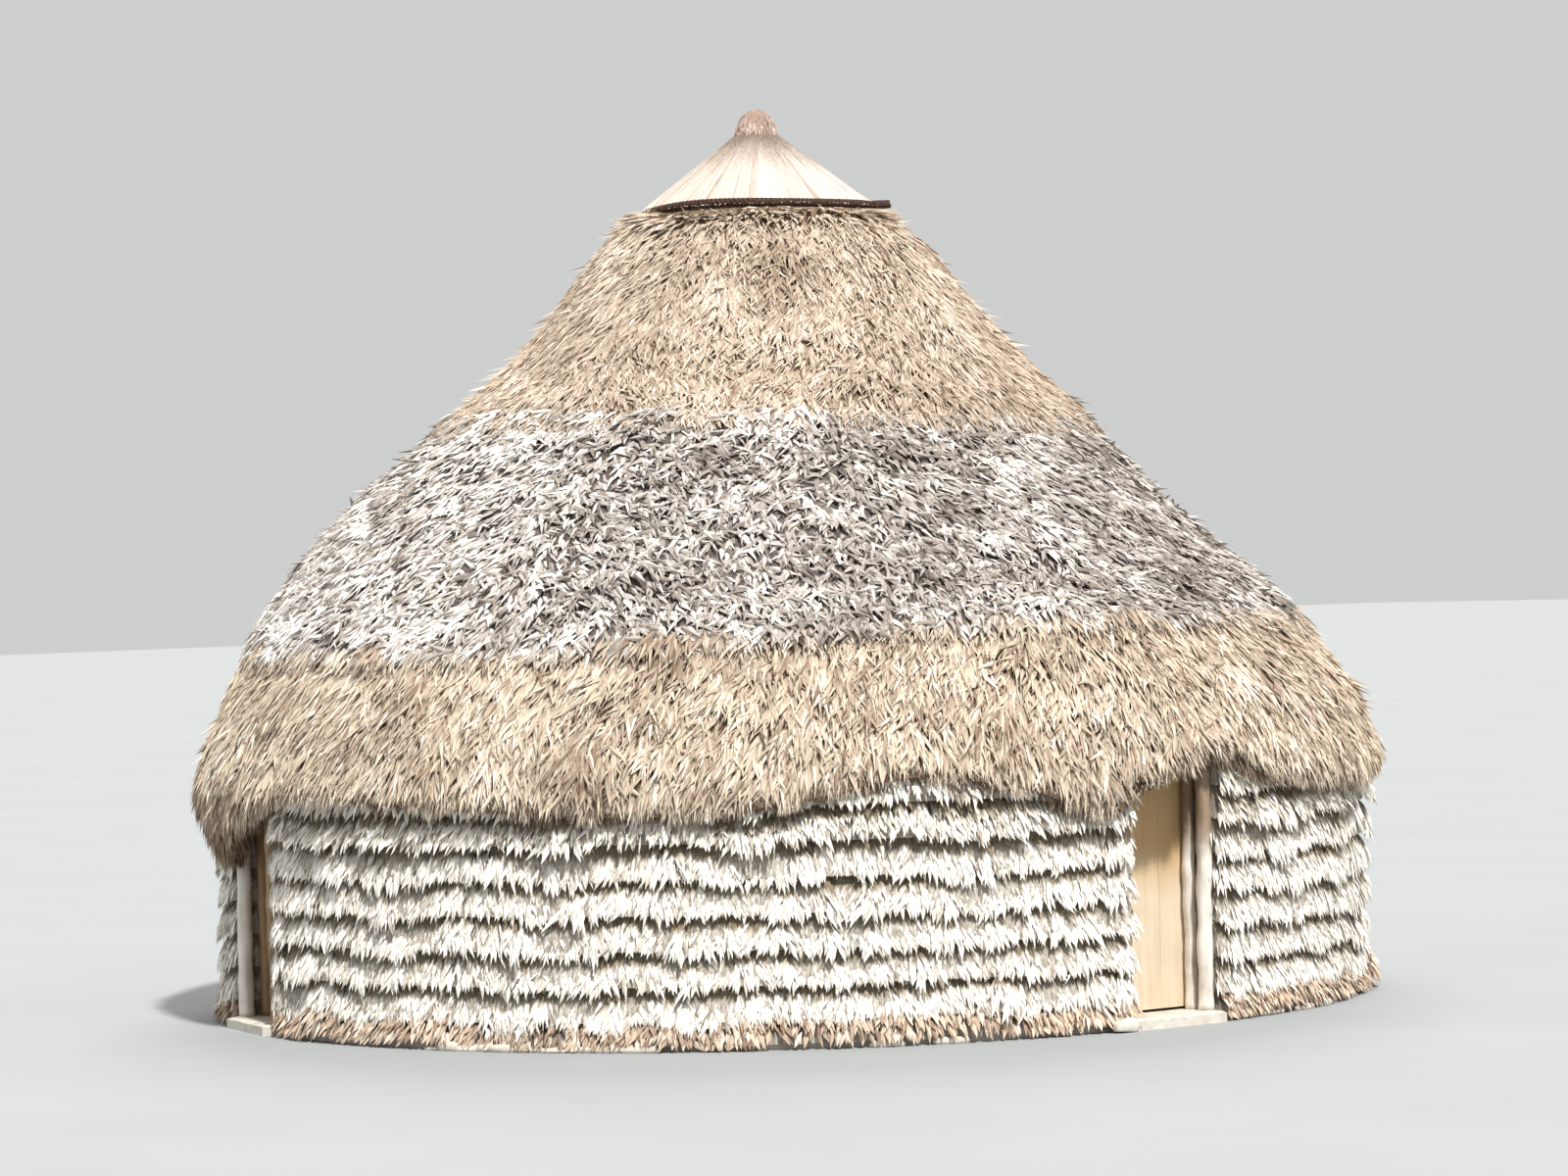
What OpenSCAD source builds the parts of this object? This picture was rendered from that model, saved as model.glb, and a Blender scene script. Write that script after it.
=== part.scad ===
// Round thatched house with a bell roof, two low doors and a wall of shaggy thatch rows.
// Origin: ground level at the centre of the round wall. +Z is up, the main door faces -Y.
// Azimuths are degrees round the house: 0 faces -Y and 90 faces +X.

/* [Wall] */
// Radius of the wall over the tips of its thatch
wall_r = 3300; // [3250:10:3400]
// Thickness of the wall thatch with its tufts
thatch_t = 180; // [170:5:200]
// Height of one row of wall thatch
row_h = 185; // [175:1:190]
// Height of the short brown row at the foot
foot_row_h = 120; // [110:1:130]
// How far each row's tips stand out over its neck
tuft_out = 65; // [45:1:70]

/* [Doors] */
// Azimuth of the main door
main_door_az = 0; // [0]
// Azimuth of the side door
side_door_az = -104.6; // [-110:0.1:-100]
// Half the angle that a doorway takes out of the wall thatch
doorway_half_angle = 6; // [6:0.1:6.5]
// Height of a door leaf
leaf_h = 1310; // [1250:5:1320]
// Width of a door leaf
leaf_w = 600; // [580:5:600]
// Thickness of a door leaf
leaf_t = 30; // [24:1:30]

/* [Roof] */
// Radius of the roof over its eave
eave_r = 3395; // [3380:5:3450]
// Mean height of the eave's lower edge
eave_z = 1270; // [1250:5:1280]
// Height of the lower edge of the grey thatch
grey_edge_z = 2100; // [2000:10:2150]
// Height of the lower edge of the upper thatch
upper_edge_z = 3300; // [3250:10:3350]
// Height of the joint between the upper thatch and the cap
crown_z = 4550; // [4500:10:4560]
// Height of the very top
apex_z = 5140; // [5120:5:5200]
// How far the top leans out of plumb
lean_top = 100; // [0:5:110]
// How far the belly of the roof sags out on the same side
belly = 140; // [0:5:140]
// Thickness of the lip where one band of thatch laps over the next
lip_t = 36; // [25:1:45]

/* [Frame] */
// Radius of a wall post
post_r = 50; // [40:1:50]
// Radius of the post in the middle
centre_post_r = 100; // [90:1:110]
// Radius of a rafter
rafter_r = 30; // [25:1:30]
// Number of rafters
rafter_count = 20; // [16:1:20]
// Slope of the rafters in degrees
rafter_slope = 47; // [46.8:0.1:47.2]
// Number of hoops tied over the rafters
hoop_count = 12; // [8:1:16]

/* [Floor] */
// Height of the floor slab
floor_h = 60; // [50:1:70]

/* [Hidden] */
$fn = 96;
// Facets of the widest rounds, whose ends fall at odd angles
wide_fn = 360;
// Hair's breadth left between pieces whose curved or wavy faces meet
joint_gap = 0.5;

// Wall
skirt_z = 30;
row_count = 8;
wall_top = skirt_z + foot_row_h + (row_count - 1) * row_h;
wall_inner_r = wall_r - thatch_t;
neck_r = wall_r - tuft_out;
shoulder_r = wall_r - 12;
neck_lift = 25;
kerb_r = wall_r - 45;
// First and last azimuth of the wall's two runs, front and round the back
front_from = side_door_az + doorway_half_angle;
front_to = main_door_az - doorway_half_angle;
back_from = main_door_az + doorway_half_angle;
back_to = 360 + side_door_az - doorway_half_angle;
back_parts = 5;

// Posts and plate
post_ring_r = wall_inner_r - post_r - 25;
post_top = wall_top - 25;
plate_r = 50;
plate_z = post_top + plate_r;
door_post_angle = 7.9;
front_post_bays = 4;
back_post_bays = 11;
lath_r = 12;

// Rafters run on a straight line from over the wall plate to the middle post
rafter_start = [post_ring_r + (plate_r + rafter_r) * sin(rafter_slope),
                plate_z + (plate_r + rafter_r) * cos(rafter_slope)];
rafter_foot = 60;
rafter_head_r = 220;
rafter_len = (rafter_start[0] - rafter_head_r) / cos(rafter_slope);
hoop_r = 15;

// Roof
thatch_gap = 66;
datum_z = 1300;
az_steps = 96;
lean_az = 232.4;
belly_z = 2800;
belly_spread = 620;
lap = 150;
lap_gap = 6;
eave_lip_r = wall_r + 12;
ledge_r = wall_inner_r + 65;
eave_tuck = 0.15;
// The bell: height from the datum to the crown, and radius, as shares of the whole
bell = [[0, 1], [0.185, 0.925], [0.369, 0.783], [0.554, 0.61],
        [0.677, 0.479], [0.8, 0.367], [0.923, 0.275], [1, 0.195]];
// Rises and sags of the eave: azimuth, height, spread
eave_waves = [[main_door_az + 5, 190, 5.2], [main_door_az - 8, -150, 3], [-26, 130, 6.5],
              [-53, -55, 10], [30, -70, 10], [-88, 50, 8], [-111, -330, 7]];

// Cap
cap_r = 665;
cap_band = 25;
cap_top_r = 122;
cap_top_z = apex_z - 150;
cap_hollow_r = 440;
cap_hollow_top = 4930;
binding_r = 12;

// Doors, in a frame of their own: x to the right as seen from outside, y = -distance out
outer_post_r = 42.5;
inner_post_r = 37.5;
door_post_x = 286;
outer_post_out = wall_r - 75;
inner_post_out = wall_r - 190;
head_h = 90;
head_z = wall_top - head_h;
head_half_w = 320;
leaf_out = wall_r - 270;
leaf_z = floor_h + 15;
ledge_h = 90;
ledge_t = 22;
ledge_zs = [180, 640, 1150];
strap_h = 40;
strap_t = 6;
strap_len = 330;
strap_zs = [330, 1010];
pin_r = 6;
pin_play = 0.1;
eye_r = 12;
pin_x = 315;
pin_out = leaf_out - eye_r;

function edge_z(i) = i == 0 ? skirt_z : skirt_z + foot_row_h + (i - 1) * row_h;

// Smooth curve through the bell's points
function slope_at(k) =
    k == 0 ? (bell[1][1] - bell[0][1]) / (bell[1][0] - bell[0][0]) * 0.6 :
    k == len(bell) - 1 ? (bell[k][1] - bell[k - 1][1]) / (bell[k][0] - bell[k - 1][0]) :
    (bell[k + 1][1] - bell[k - 1][1]) / (bell[k + 1][0] - bell[k - 1][0]);
function span_of(u, k = 0) = k >= len(bell) - 2 || u <= bell[k + 1][0] ? k : span_of(u, k + 1);
function bell_curve(u, k, w, t) =
    (2 * t * t * t - 3 * t * t + 1) * bell[k][1] + (t * t * t - 2 * t * t + t) * w * slope_at(k)
    + (3 * t * t - 2 * t * t * t) * bell[k + 1][1] + (t * t * t - t * t) * w * slope_at(k + 1);
function bell_share(u) =
    let (k = span_of(u), w = bell[k + 1][0] - bell[k][0])
    bell_curve(u, k, w, (u - bell[k][0]) / w);
function roof_r(z) =
    z < datum_z ? eave_r - eave_tuck * (datum_z - z)
    : eave_r * bell_share((z - datum_z) / (crown_z - datum_z));

// How far the roof's middle is out of plumb at a height
function lean(z) =
    z < datum_z ? 0
    : lean_top * (z - datum_z) / (apex_z - datum_z)
      + belly * (exp(-pow((z - belly_z) / belly_spread, 2)) - exp(-pow((datum_z - belly_z) / belly_spread, 2)));
function lean_xy(z) = lean(z) * [cos(lean_az - 90), sin(lean_az - 90)];

// Underside of the thatch, over the rafters and hoops
function under_r(z) =
    rafter_start[0] + thatch_gap * sin(rafter_slope)
    - (z - rafter_start[1] - thatch_gap * cos(rafter_slope)) / tan(rafter_slope);
function under_z(r) =
    rafter_start[1] + thatch_gap * cos(rafter_slope)
    - (r - rafter_start[0] - thatch_gap * sin(rafter_slope)) * tan(rafter_slope);

// Heights of the wavy edges at an azimuth
function turn(a, b) = let (d = (a - b) % 360) d > 180 ? d - 360 : d < -180 ? d + 360 : d;
function wave_sum(az, i = 0) =
    i >= len(eave_waves) ? 0
    : eave_waves[i][1] * exp(-pow(turn(az, eave_waves[i][0]) / eave_waves[i][2], 2) / 2)
      + wave_sum(az, i + 1);
function eave_edge(az) = min(eave_z + wave_sum(az) + 10 * sin(4 * az), wall_top - 15);
function grey_edge(az) = grey_edge_z + 60 * cos(az + 25) * cos(2 * az);
function upper_edge(az) = upper_edge_z + 50 * cos(az + 125);

// One point of the roof: distance from the leaning middle, height and azimuth
function roof_point(r, z, az) =
    [lean_xy(z)[0] + r * cos(az - 90), lean_xy(z)[1] + r * sin(az - 90), z];
function plumb_point(r, z, az) = [r * cos(az - 90), r * sin(az - 90), z];

// Closed ring of thatch from one list of points for each azimuth
module thatch_ring(loops) {
    n = len(loops);
    m = len(loops[0]);
    points = [for (l = loops) each l];
    faces = [for (i = [0 : n - 1], j = [0 : m - 1])
        let (a = i * m + j, b = i * m + (j + 1) % m,
             c = ((i + 1) % n) * m + (j + 1) % m, d = ((i + 1) % n) * m + j)
        each [[a, b, c], [a, c, d]]];
    polyhedron(points = points, faces = faces, convexity = 8);
}

module floor_slab() {
    color("gainsboro")
    rotate_extrude($fn = wide_fn)
    polygon([[0, 0], [kerb_r, 0], [kerb_r, floor_h - 12], [kerb_r - 12, floor_h], [0, floor_h]]);
}

module threshold() {
    color("ivory")
    difference() {
        translate([-330, -wall_r - 30, 0]) cube([660, 120, floor_h]);
        translate([0, 0, -1]) cylinder(r = kerb_r + joint_gap, h = floor_h + 2, $fn = wide_fn);
    }
}

module main_threshold() {
    rotate([0, 0, main_door_az]) threshold();
}

module side_threshold() {
    rotate([0, 0, side_door_az]) threshold();
}

module foot_stone() {
    color("white")
    rotate([0, 0, main_door_az])
    translate([-480, -wall_r - 72, 0])
    rotate([90, 0, 90])
    linear_extrude(150)
    polygon([[0, 0], [66, 0], [66, 58], [54, 70], [12, 70], [0, 58]]);
}

// Section of the wall: a core with rows of tufts that hang over each other
module wall_section() {
    rows = [for (i = [1 : row_count - 1]) each [
        [neck_r, edge_z(i) + neck_lift],
        [wall_r, edge_z(i)],
        [shoulder_r, edge_z(i) + 0.45 * row_h]
    ]];
    polygon(concat(
        [[wall_inner_r, floor_h], [kerb_r + 7, floor_h], [kerb_r + 7, skirt_z],
         [wall_r - 10, skirt_z], [wall_r - 16, skirt_z + 0.5 * foot_row_h]],
        rows,
        [[neck_r, wall_top], [wall_inner_r, wall_top]]));
}

module wall_segment(from_az, to_az) {
    color("antiquewhite")
    rotate([0, 0, from_az - 90])
    rotate_extrude(angle = to_az - from_az, $fn = wide_fn)
    wall_section();
}

module front_wall(i) {
    step = (front_to - front_from) / 2;
    wall_segment(front_from + i * step, front_from + (i + 1) * step);
}

module back_run(i) {
    step = (back_to - back_from) / back_parts;
    wall_segment(back_from + i * step, back_from + (i + 1) * step);
}

module wall_posts() {
    first = side_door_az + door_post_angle;
    front_step = (main_door_az - door_post_angle - first) / front_post_bays;
    back_step = (360 + side_door_az - main_door_az - 2 * door_post_angle) / back_post_bays;
    color("tan") {
        for (i = [0 : front_post_bays]) wall_post(first + i * front_step);
        for (i = [0 : back_post_bays]) wall_post(main_door_az + door_post_angle + i * back_step);
    }
}

module wall_post(az) {
    rotate([0, 0, az])
    translate([0, -post_ring_r, floor_h])
    cylinder(r = post_r, h = post_top - floor_h);
}

// Thin rods tied outside the posts, which the wall thatch is sewn to
module wall_laths() {
    color("peru")
    for (i = [1 : row_count - 1]) {
        lath(front_from + 0.6, front_to - 0.6, edge_z(i) + 90);
        lath(back_from + 0.6, back_to - 0.6, edge_z(i) + 90);
    }
}

module lath(from_az, to_az, z) {
    rotate([0, 0, from_az - 90])
    rotate_extrude(angle = to_az - from_az, $fn = wide_fn)
    translate([post_ring_r + post_r + lath_r, z]) circle(r = lath_r, $fn = 8);
}

module wall_plate() {
    color("sienna")
    rotate_extrude()
    translate([post_ring_r, plate_z]) circle(r = plate_r, $fn = 12);
}

module centre_post() {
    color("sienna")
    translate([0, 0, floor_h]) cylinder(r = centre_post_r, h = 4660 - floor_h);
}

// Bundle round the middle post that the rafter heads lie on
module post_collar() {
    reach = 330;
    inner = 205;
    low = 4350;
    clear = rafter_r / cos(rafter_slope) + 2;
    bear_z = function (r) rafter_start[1] + (rafter_start[0] - r) * tan(rafter_slope) - clear;
    color("peru")
    rotate_extrude()
    polygon([[centre_post_r, low], [reach, low + 40], [reach, bear_z(reach)],
             [inner, bear_z(inner)], [centre_post_r, bear_z(inner)]]);
}

module rafters() {
    color("burlywood")
    for (i = [0 : rafter_count - 1])
        rotate([0, 0, (i + 0.5) * 360 / rafter_count])
        translate([rafter_start[0], 0, rafter_start[1]])
        rotate([0, rafter_slope - 90, 0])
        translate([0, 0, -rafter_foot])
        cylinder(r = rafter_r, h = rafter_len + rafter_foot);
}

module roof_hoops() {
    first = 120;
    last = 240;
    step = (rafter_len - first - last) / (hoop_count - 1);
    off = rafter_r + hoop_r;
    color("peru")
    for (i = [0 : hoop_count - 1])
        let (s = first + i * step)
        rotate_extrude()
        translate([rafter_start[0] - s * cos(rafter_slope) + off * sin(rafter_slope),
                   rafter_start[1] + s * sin(rafter_slope) + off * cos(rafter_slope)])
        circle(r = hoop_r, $fn = 8);
}

// Two posts on each side of a doorway, an outer one and an inner one
module door_posts() {
    color("lightgray")
    for (side = [-1, 1]) {
        translate([side * door_post_x, -outer_post_out, floor_h])
            cylinder(r = outer_post_r, h = head_z - floor_h);
        translate([side * door_post_x, -inner_post_out, floor_h])
            cylinder(r = inner_post_r, h = head_z - floor_h);
    }
}

module door_head() {
    low_out = post_ring_r + plate_r + 5;
    deep = outer_post_out + outer_post_r - low_out;
    soft = 10;
    color("gray")
    translate([-head_half_w, -low_out - deep, head_z])
    rotate([90, 0, 90])
    linear_extrude(2 * head_half_w)
    polygon([[soft, 0], [deep - soft, 0], [deep, soft], [deep, head_h],
             [0, head_h], [0, soft]]);
}

module door_leaf() {
    translate([-leaf_w / 2, -leaf_out - leaf_t, leaf_z]) cube([leaf_w, leaf_t, leaf_h]);
}

module door_ledges() {
    color("peru")
    for (z = ledge_zs)
        translate([-leaf_w / 2 + 30, -leaf_out, leaf_z + z]) cube([leaf_w - 80, ledge_t, ledge_h]);
}

// Iron straps on the leaf, each with an eye that turns on a pin
module door_straps() {
    color("dimgray")
    for (z = strap_zs)
        translate([0, 0, leaf_z + z])
        difference() {
            union() {
                translate([pin_x - strap_len, -leaf_out, 0]) cube([strap_len, strap_t, strap_h]);
                translate([pin_x, -pin_out, 0]) cylinder(r = eye_r, h = strap_h, $fn = 48);
            }
            translate([pin_x, -pin_out, -1]) cylinder(r = pin_r + pin_play, h = strap_h + 2, $fn = 48);
        }
}

// Pins on short arms, let into the wall posts beside the doorway
module door_pins() {
    arm = 10;
    color("dimgray")
    for (z = strap_zs)
        translate([0, 0, leaf_z + z - arm - 2])
        difference() {
            union() {
                translate([pin_x, -pin_out, 0]) cylinder(r = pin_r, h = arm + strap_h + 12, $fn = 48);
                translate([pin_x, -pin_out - 8, 0]) cube([100, 16, arm]);
            }
            rotate([0, 0, door_post_angle])
            translate([0, -post_ring_r, -1]) cylinder(r = post_r, h = arm + 2);
        }
}

module at_main_door() {
    rotate([0, 0, main_door_az]) children();
}

module at_side_door() {
    rotate([0, 0, side_door_az]) children();
}

// Lower band of the roof: it hangs over the wall in a wavy eave that lifts over the main door
module lower_thatch() {
    top = grey_edge_z + lap;
    levels = 7;
    loops = [for (i = [0 : az_steps - 1]) let (az = i * 360 / az_steps, low = eave_edge(az))
        concat(
            [for (j = [0 : levels - 1]) let (z = low + (top - low) * j / (levels - 1))
                roof_point(roof_r(z), z, az)],
            [plumb_point(under_r(top), top, az),
             plumb_point(ledge_r, under_z(ledge_r), az),
             plumb_point(ledge_r, wall_top + joint_gap, az),
             plumb_point(eave_lip_r, wall_top + joint_gap, az),
             plumb_point(eave_lip_r, low, az)])];
    color("peru") thatch_ring(loops);
}

// A band that laps over the one below it, from its wavy lower edge up to a flat top
module upper_band(bottom_z, top_z, edges) {
    levels = 7;
    loops = [for (i = [0 : az_steps - 1]) let (az = i * 360 / az_steps, low = edges[i])
        concat(
            [roof_point(roof_r(low) + lap_gap, low, az)],
            [for (j = [0 : levels - 1])
                let (s = j / (levels - 1), z = low + (top_z - low) * s)
                roof_point(roof_r(z) + lip_t * (1 - s), z, az)],
            [plumb_point(under_r(top_z), top_z, az),
             plumb_point(under_r(bottom_z), bottom_z, az),
             roof_point(roof_r(bottom_z) + lap_gap, bottom_z, az)])];
    thatch_ring(loops);
}

module grey_thatch() {
    color("darkgray")
    upper_band(grey_edge_z + lap, upper_edge_z + lap,
        [for (i = [0 : az_steps - 1]) grey_edge(i * 360 / az_steps)]);
}

module upper_thatch() {
    color("sandybrown")
    upper_band(upper_edge_z + lap, crown_z,
        [for (i = [0 : az_steps - 1]) upper_edge(i * 360 / az_steps)]);
}

module at_cap() {
    translate([lean_xy(crown_z)[0], lean_xy(crown_z)[1], 0]) children();
}

module cap_cone() {
    color("wheat")
    at_cap()
    rotate_extrude()
    polygon([[cap_hollow_r, crown_z], [cap_r, crown_z], [cap_r, crown_z + cap_band],
             [cap_top_r, cap_top_z], [0, cap_top_z], [0, cap_hollow_top]]);
}

module cap_binding() {
    z = crown_z + cap_band / 2;
    color("saddlebrown")
    at_cap() {
        rotate_extrude() translate([cap_r + binding_r, z]) circle(r = binding_r, $fn = 12);
    }
}

module cap_knot() {
    color("peru")
    at_cap()
    rotate_extrude()
    polygon([[0, cap_top_z], [cap_top_r, cap_top_z], [117, cap_top_z + 28], [103, cap_top_z + 80],
             [80, cap_top_z + 122], [44, apex_z], [0, apex_z]]);
}

floor_slab();
main_threshold();
side_threshold();
foot_stone();
front_wall(0);  // front_wall_left
front_wall(1);  // front_wall_right
back_run(0);  // right_wall_front
back_run(1);  // right_wall_back
back_run(2);  // back_wall_right
back_run(3);  // back_wall_left
back_run(4);  // left_wall
wall_posts();
wall_laths();
wall_plate();
centre_post();
post_collar();
rafters();
roof_hoops();
at_main_door() door_posts();  // main_door_posts
at_main_door() door_head();  // main_door_head
at_main_door() door_pins();  // main_door_pins
color("burlywood") at_main_door() door_leaf();  // main_door_leaf
at_main_door() door_ledges();  // main_door_ledges
at_main_door() door_straps();  // main_door_straps
at_side_door() door_posts();  // side_door_posts
at_side_door() door_head();  // side_door_head
at_side_door() door_pins();  // side_door_pins
color("sienna") at_side_door() door_leaf();  // side_door_leaf
at_side_door() door_ledges();  // side_door_ledges
at_side_door() door_straps();  // side_door_straps
lower_thatch();
grey_thatch();
upper_thatch();
cap_cone();
cap_binding();
cap_knot();
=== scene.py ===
# %% [markdown]
# # A round thatched house
# The house has a wall of thatch rows tied to a ring of posts, and a bell-shaped roof in three bands of
# thatch under a cap of combed straw. The solid parts come from a fixed frame model. This script gives
# them their finish and lays the thatch over them. Thatch could be painted as a picture on a smooth
# shell, but its ragged edges and the dark gaps between blades would be lost. So every blade here is a
# small closed mesh, thousands of them to a band, and arrays of numbers place them all at once.

# %% Load the frame
import math

import bmesh
import bpy
import numpy as np
from mathutils import Matrix, Vector
from mathutils.bvhtree import BVHTree


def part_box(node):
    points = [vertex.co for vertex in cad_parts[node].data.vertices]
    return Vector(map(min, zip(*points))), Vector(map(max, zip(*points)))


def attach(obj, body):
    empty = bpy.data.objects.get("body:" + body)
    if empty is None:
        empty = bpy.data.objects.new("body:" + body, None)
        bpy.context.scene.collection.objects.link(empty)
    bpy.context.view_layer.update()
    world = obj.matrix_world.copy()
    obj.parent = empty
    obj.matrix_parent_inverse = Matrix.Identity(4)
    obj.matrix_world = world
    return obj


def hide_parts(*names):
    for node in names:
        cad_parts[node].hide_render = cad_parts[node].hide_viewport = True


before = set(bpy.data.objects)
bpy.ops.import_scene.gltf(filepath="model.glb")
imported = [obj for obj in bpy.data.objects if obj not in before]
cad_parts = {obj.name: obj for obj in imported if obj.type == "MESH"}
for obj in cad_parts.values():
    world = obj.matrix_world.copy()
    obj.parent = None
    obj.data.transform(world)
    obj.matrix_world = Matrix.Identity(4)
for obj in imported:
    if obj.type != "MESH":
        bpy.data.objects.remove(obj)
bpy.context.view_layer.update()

# %% [markdown]
# ## The camera
# The picture was taken from about nine wall radii away and half as high as the house. A camera that
# stands there sees the eave and the kerb curve by the right amount. A long lens then fills the picture
# with the house, which changes the crop and not the perspective. The camera is also rolled a little, as
# the one that took the picture was.

# %% Camera
EYE_AZIMUTH = math.radians(-37.6)
EYE_DISTANCE = 29.5
EYE_HEIGHT = 2.49
AIM_HEIGHT = 2.37
ROLL = math.radians(-1.7)
LENS_MM, SENSOR_MM, SIGHT = 116.66, 36, 300

eye = Vector((EYE_DISTANCE * math.sin(EYE_AZIMUTH), -EYE_DISTANCE * math.cos(EYE_AZIMUTH), EYE_HEIGHT))
look = (Vector((0, 0, AIM_HEIGHT)) - eye).to_track_quat("-Z", "Y").to_matrix()
camera = bpy.data.objects.new("camera", bpy.data.cameras.new("camera"))
camera.data.lens = LENS_MM
camera.data.sensor_width = SENSOR_MM
camera.data.clip_end = SIGHT
camera.matrix_world = Matrix.Translation(eye) @ (look @ Matrix.Rotation(ROLL, 3, "Z")).to_4x4()
bpy.context.scene.collection.objects.link(camera)
bpy.context.scene.camera = camera
print("camera stands", round(EYE_DISTANCE, 1), "m from the middle post")

# %% [markdown]
# ## Finishes made of nodes
# Each finish is a small tree of nodes that works out colour and relief from the place on the surface, so
# it needs no pictures. Two helpers keep the trees short. One adds a node and wires its inputs, the other
# starts a finish with its shader.

# %% Start a finish
def add_node(tree, kind, **inputs):
    node = tree.nodes.new(kind)
    for key, value in inputs.items():
        if key in node.bl_rna.properties:
            setattr(node, key, value)
            continue
        name = key.replace("_", " ")
        socket = node.inputs[name] if name in node.inputs else node.inputs[int(key.lstrip("i"))]
        if isinstance(value, bpy.types.NodeSocket):
            tree.links.new(value, socket)
        else:
            socket.default_value = value
    return node


def start_finish(name, roughness):
    finish = bpy.data.materials.new(name)
    finish.use_nodes = True
    tree = finish.node_tree
    shader = tree.nodes["Principled BSDF"]
    shader.inputs["Roughness"].default_value = roughness
    shader.inputs["Specular IOR Level"].default_value = 0.25
    return finish, tree, shader


print("finishes can be started")

# %% [markdown]
# Six more helpers do what every finish needs. Colours are written as one sees them and turned into the
# linear light that the shader wants. A ramp picks among them, a mix blends two, a mottle gives natural
# unevenness at any scale and stretch, and relief makes small bumps of it. The last one puts a finish on
# solids of the frame.

# %% Colour, mottle and relief
def linear(hexa):
    values = [int(hexa[i:i + 2], 16) / 255 for i in (0, 2, 4)]
    return [v / 12.92 if v <= 0.04045 else ((v + 0.055) / 1.055) ** 2.4 for v in values] + [1.0]


def ramp(tree, value, stops):
    node = add_node(tree, "ShaderNodeValToRGB", Fac=value)
    band = node.color_ramp.elements
    while len(band) < len(stops):
        band.new(0.5)
    for element, (place, hexa) in zip(band, stops):
        element.position = place
        element.color = linear(hexa)
    return node.outputs["Color"]


def mix(tree, amount, first, second, how="MIX"):
    node = add_node(tree, "ShaderNodeMix", data_type="RGBA", blend_type=how)
    for index, value in ((0, amount), (6, first), (7, second)):
        if isinstance(value, bpy.types.NodeSocket):
            tree.links.new(value, node.inputs[index])
        else:
            node.inputs[index].default_value = value
    return node.outputs[2]


def mottle(tree, scale, stretch=(1, 1, 1), detail=4.0, roughness=0.6):
    place = add_node(tree, "ShaderNodeTexCoord").outputs["Object"]
    place = add_node(tree, "ShaderNodeMapping", Vector=place, Scale=stretch).outputs["Vector"]
    return add_node(tree, "ShaderNodeTexNoise", Vector=place, Scale=scale, Detail=detail,
                    Roughness=roughness).outputs["Fac"]


def relief(tree, shader, height, strength, distance):
    bump = add_node(tree, "ShaderNodeBump", Height=height, Strength=strength, Distance=distance)
    tree.links.new(bump.outputs["Normal"], shader.inputs["Normal"])


def dress(finish, *names):
    for name in names:
        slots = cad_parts[name].data.materials
        slots.clear()
        slots.append(finish)


print("helpers for colour, mottle and relief ready")

# %% [markdown]
# ## The studio
# The house stands on a plain pale floor under a pale sky of one tone. One sun-like lamp, high and a
# little to the right of the camera, gives the short shadow under the eave that the picture has. A weak
# and very soft one from behind keeps the far side readable. The plain colour transform keeps pale straw
# pale.

# %% Floor, lamps and sky
scene = bpy.context.scene
scene.view_settings.view_transform = "Standard"

FLOOR_HALF, SKY_TONE, SKY_STRENGTH = 150, "e8eaea", 0.76
floor_mesh = bpy.data.meshes.new("studio_floor")
floor_corners = [(x * FLOOR_HALF, y * FLOOR_HALF, 0) for x, y in ((-1, -1), (1, -1), (1, 1), (-1, 1))]
floor_mesh.from_pydata(floor_corners, [], [(0, 1, 2, 3)])
studio_floor = bpy.data.objects.new("studio_floor", floor_mesh)
scene.collection.objects.link(studio_floor)
floor_finish, tree, shader = start_finish("studio_floor_paint", 0.9)
tree.links.new(ramp(tree, mottle(tree, 0.4), [(0.3, "9c9fa0"), (0.7, "a0a3a4")]), shader.inputs["Base Color"])
floor_mesh.materials.append(floor_finish)


def add_sun(name, azimuth, height, strength, softness, colour):
    lamp = bpy.data.lights.new(name, "SUN")
    lamp.energy = strength
    lamp.angle = math.radians(softness)
    lamp.color = colour
    sun = bpy.data.objects.new(name, lamp)
    a, e = math.radians(azimuth), math.radians(height)
    toward = Vector((math.sin(a) * math.cos(e), -math.cos(a) * math.cos(e), math.sin(e)))
    sun.rotation_euler = toward.to_track_quat("Z", "Y").to_euler()
    scene.collection.objects.link(sun)


add_sun("key_lamp", azimuth=-17, height=52, strength=4.8, softness=4, colour=(1.0, 0.98, 0.96))
add_sun("back_lamp", azimuth=140, height=45, strength=1.4, softness=30, colour=(1.0, 0.98, 0.95))
sky = bpy.data.worlds.new("studio_sky")
sky.use_nodes = True
sky.node_tree.nodes["Background"].inputs["Color"].default_value = linear(SKY_TONE)
sky.node_tree.nodes["Background"].inputs["Strength"].default_value = SKY_STRENGTH
scene.world = sky
print("two lamps and a sky")

# %% [markdown]
# ## Where the roof's skin is
# The blades have to lie on the roof as it was built, lean and waves included. A formula could be
# copied, but it would drift from the model as soon as that changed. So rays are shot at the three
# bands from outside, level by level and all round, and the distances that they report are kept in
# one table. The table also says which band each ray met, and so where each band begins and ends.

# %% Measure the skin
BANDS = ("lower_thatch", "grey_thatch", "upper_thatch")
TURNS = 480
LEVEL_LOW, LEVEL_HIGH, LEVELS = 0.84, 4.62, 316
RAY_FROM = 4.5
heights = np.linspace(LEVEL_LOW, LEVEL_HIGH, LEVELS)


def outward(azimuth):
    a = np.radians(azimuth)
    return np.stack([np.sin(a), -np.cos(a), np.zeros_like(a)], axis=-1)


def sideways(azimuth):
    a = np.radians(azimuth)
    return np.stack([np.cos(a), np.sin(a), np.zeros_like(a)], axis=-1)


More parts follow.
